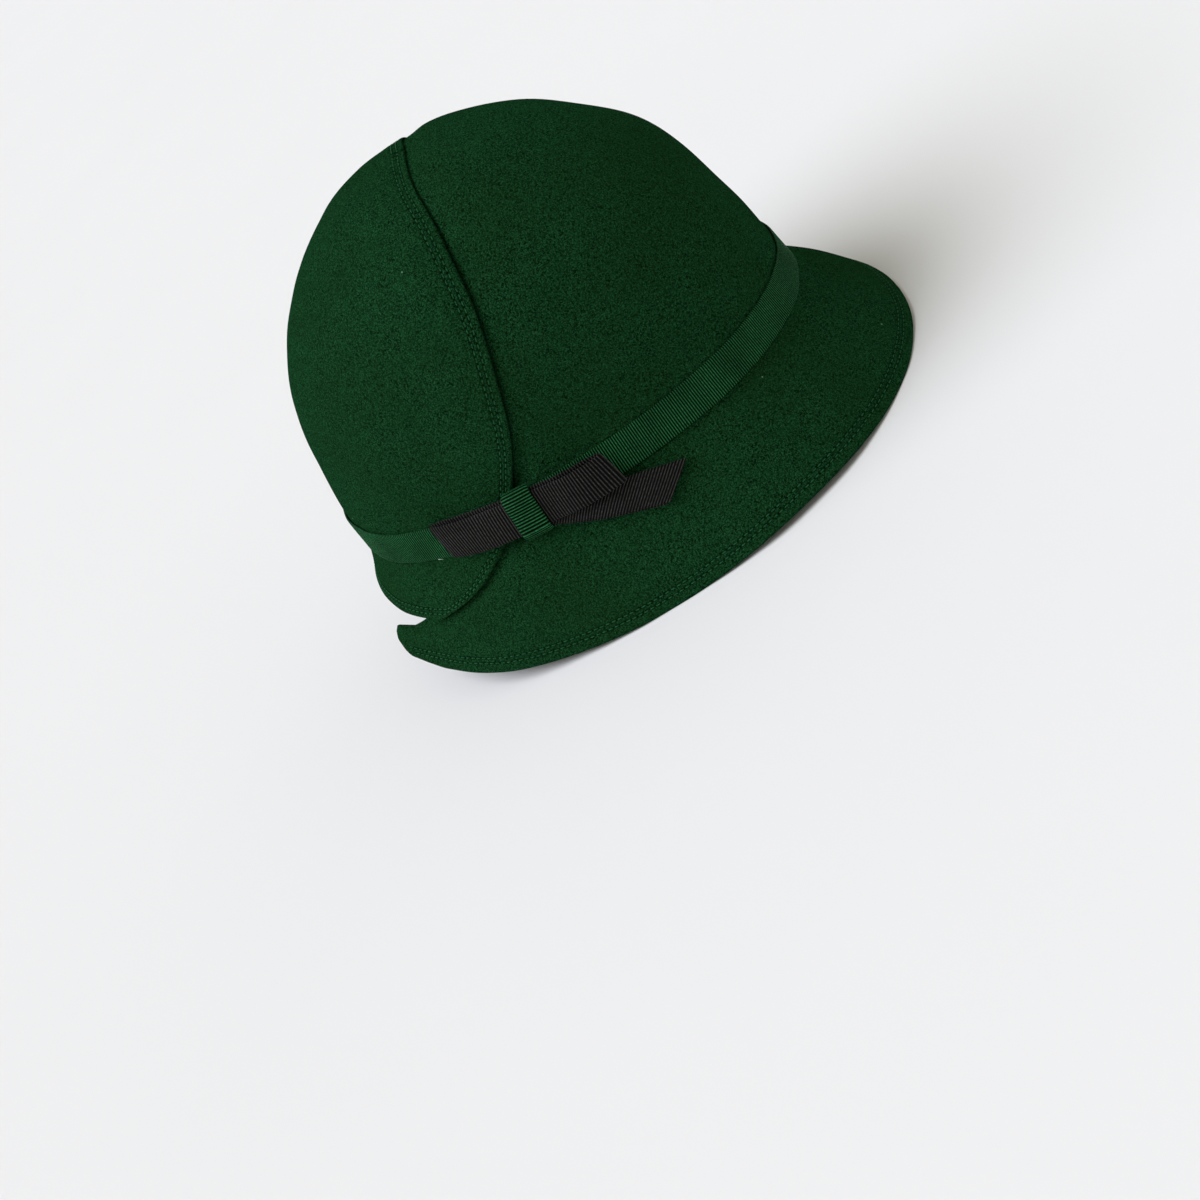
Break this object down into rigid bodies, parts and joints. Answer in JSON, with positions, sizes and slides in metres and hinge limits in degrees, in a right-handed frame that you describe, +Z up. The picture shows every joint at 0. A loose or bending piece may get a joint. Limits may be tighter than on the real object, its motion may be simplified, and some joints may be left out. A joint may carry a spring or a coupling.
{
  "type": "cloche hat",
  "caption": "Close-fitting felt cloche hat: rounded crown, turned-down brim ending in two tails under a short back tab, ribbon band and flat side bow.",
  "frame": {"origin": "bottom centre of the hat's box as it stands by itself on a flat surface", "axes": "+Z up, -Y towards the front of the brim, +Y towards the back tab and tails, -X towards the wearer's right where the bow is"},
  "size_m": [0.2052, 0.252, 0.1805],
  "materials": {
    "felt_green": "dark green wool felt, matt with a short fine nap",
    "ribbon_green": "green ribbed grosgrain ribbon, slight sheen on the ribs",
    "ribbon_black": "black ribbed grosgrain ribbon, soft sheen"
  },
  "bodies": {
    "root": {"front_panel": "felt_green", "back_panel": "felt_green", "ribbon_band": "ribbon_green", "bow_loops": "ribbon_black", "bow_tail_upper": "ribbon_black", "bow_tail_lower": "ribbon_black", "bow_knot": "ribbon_green"}
  },
  "joints": []
}
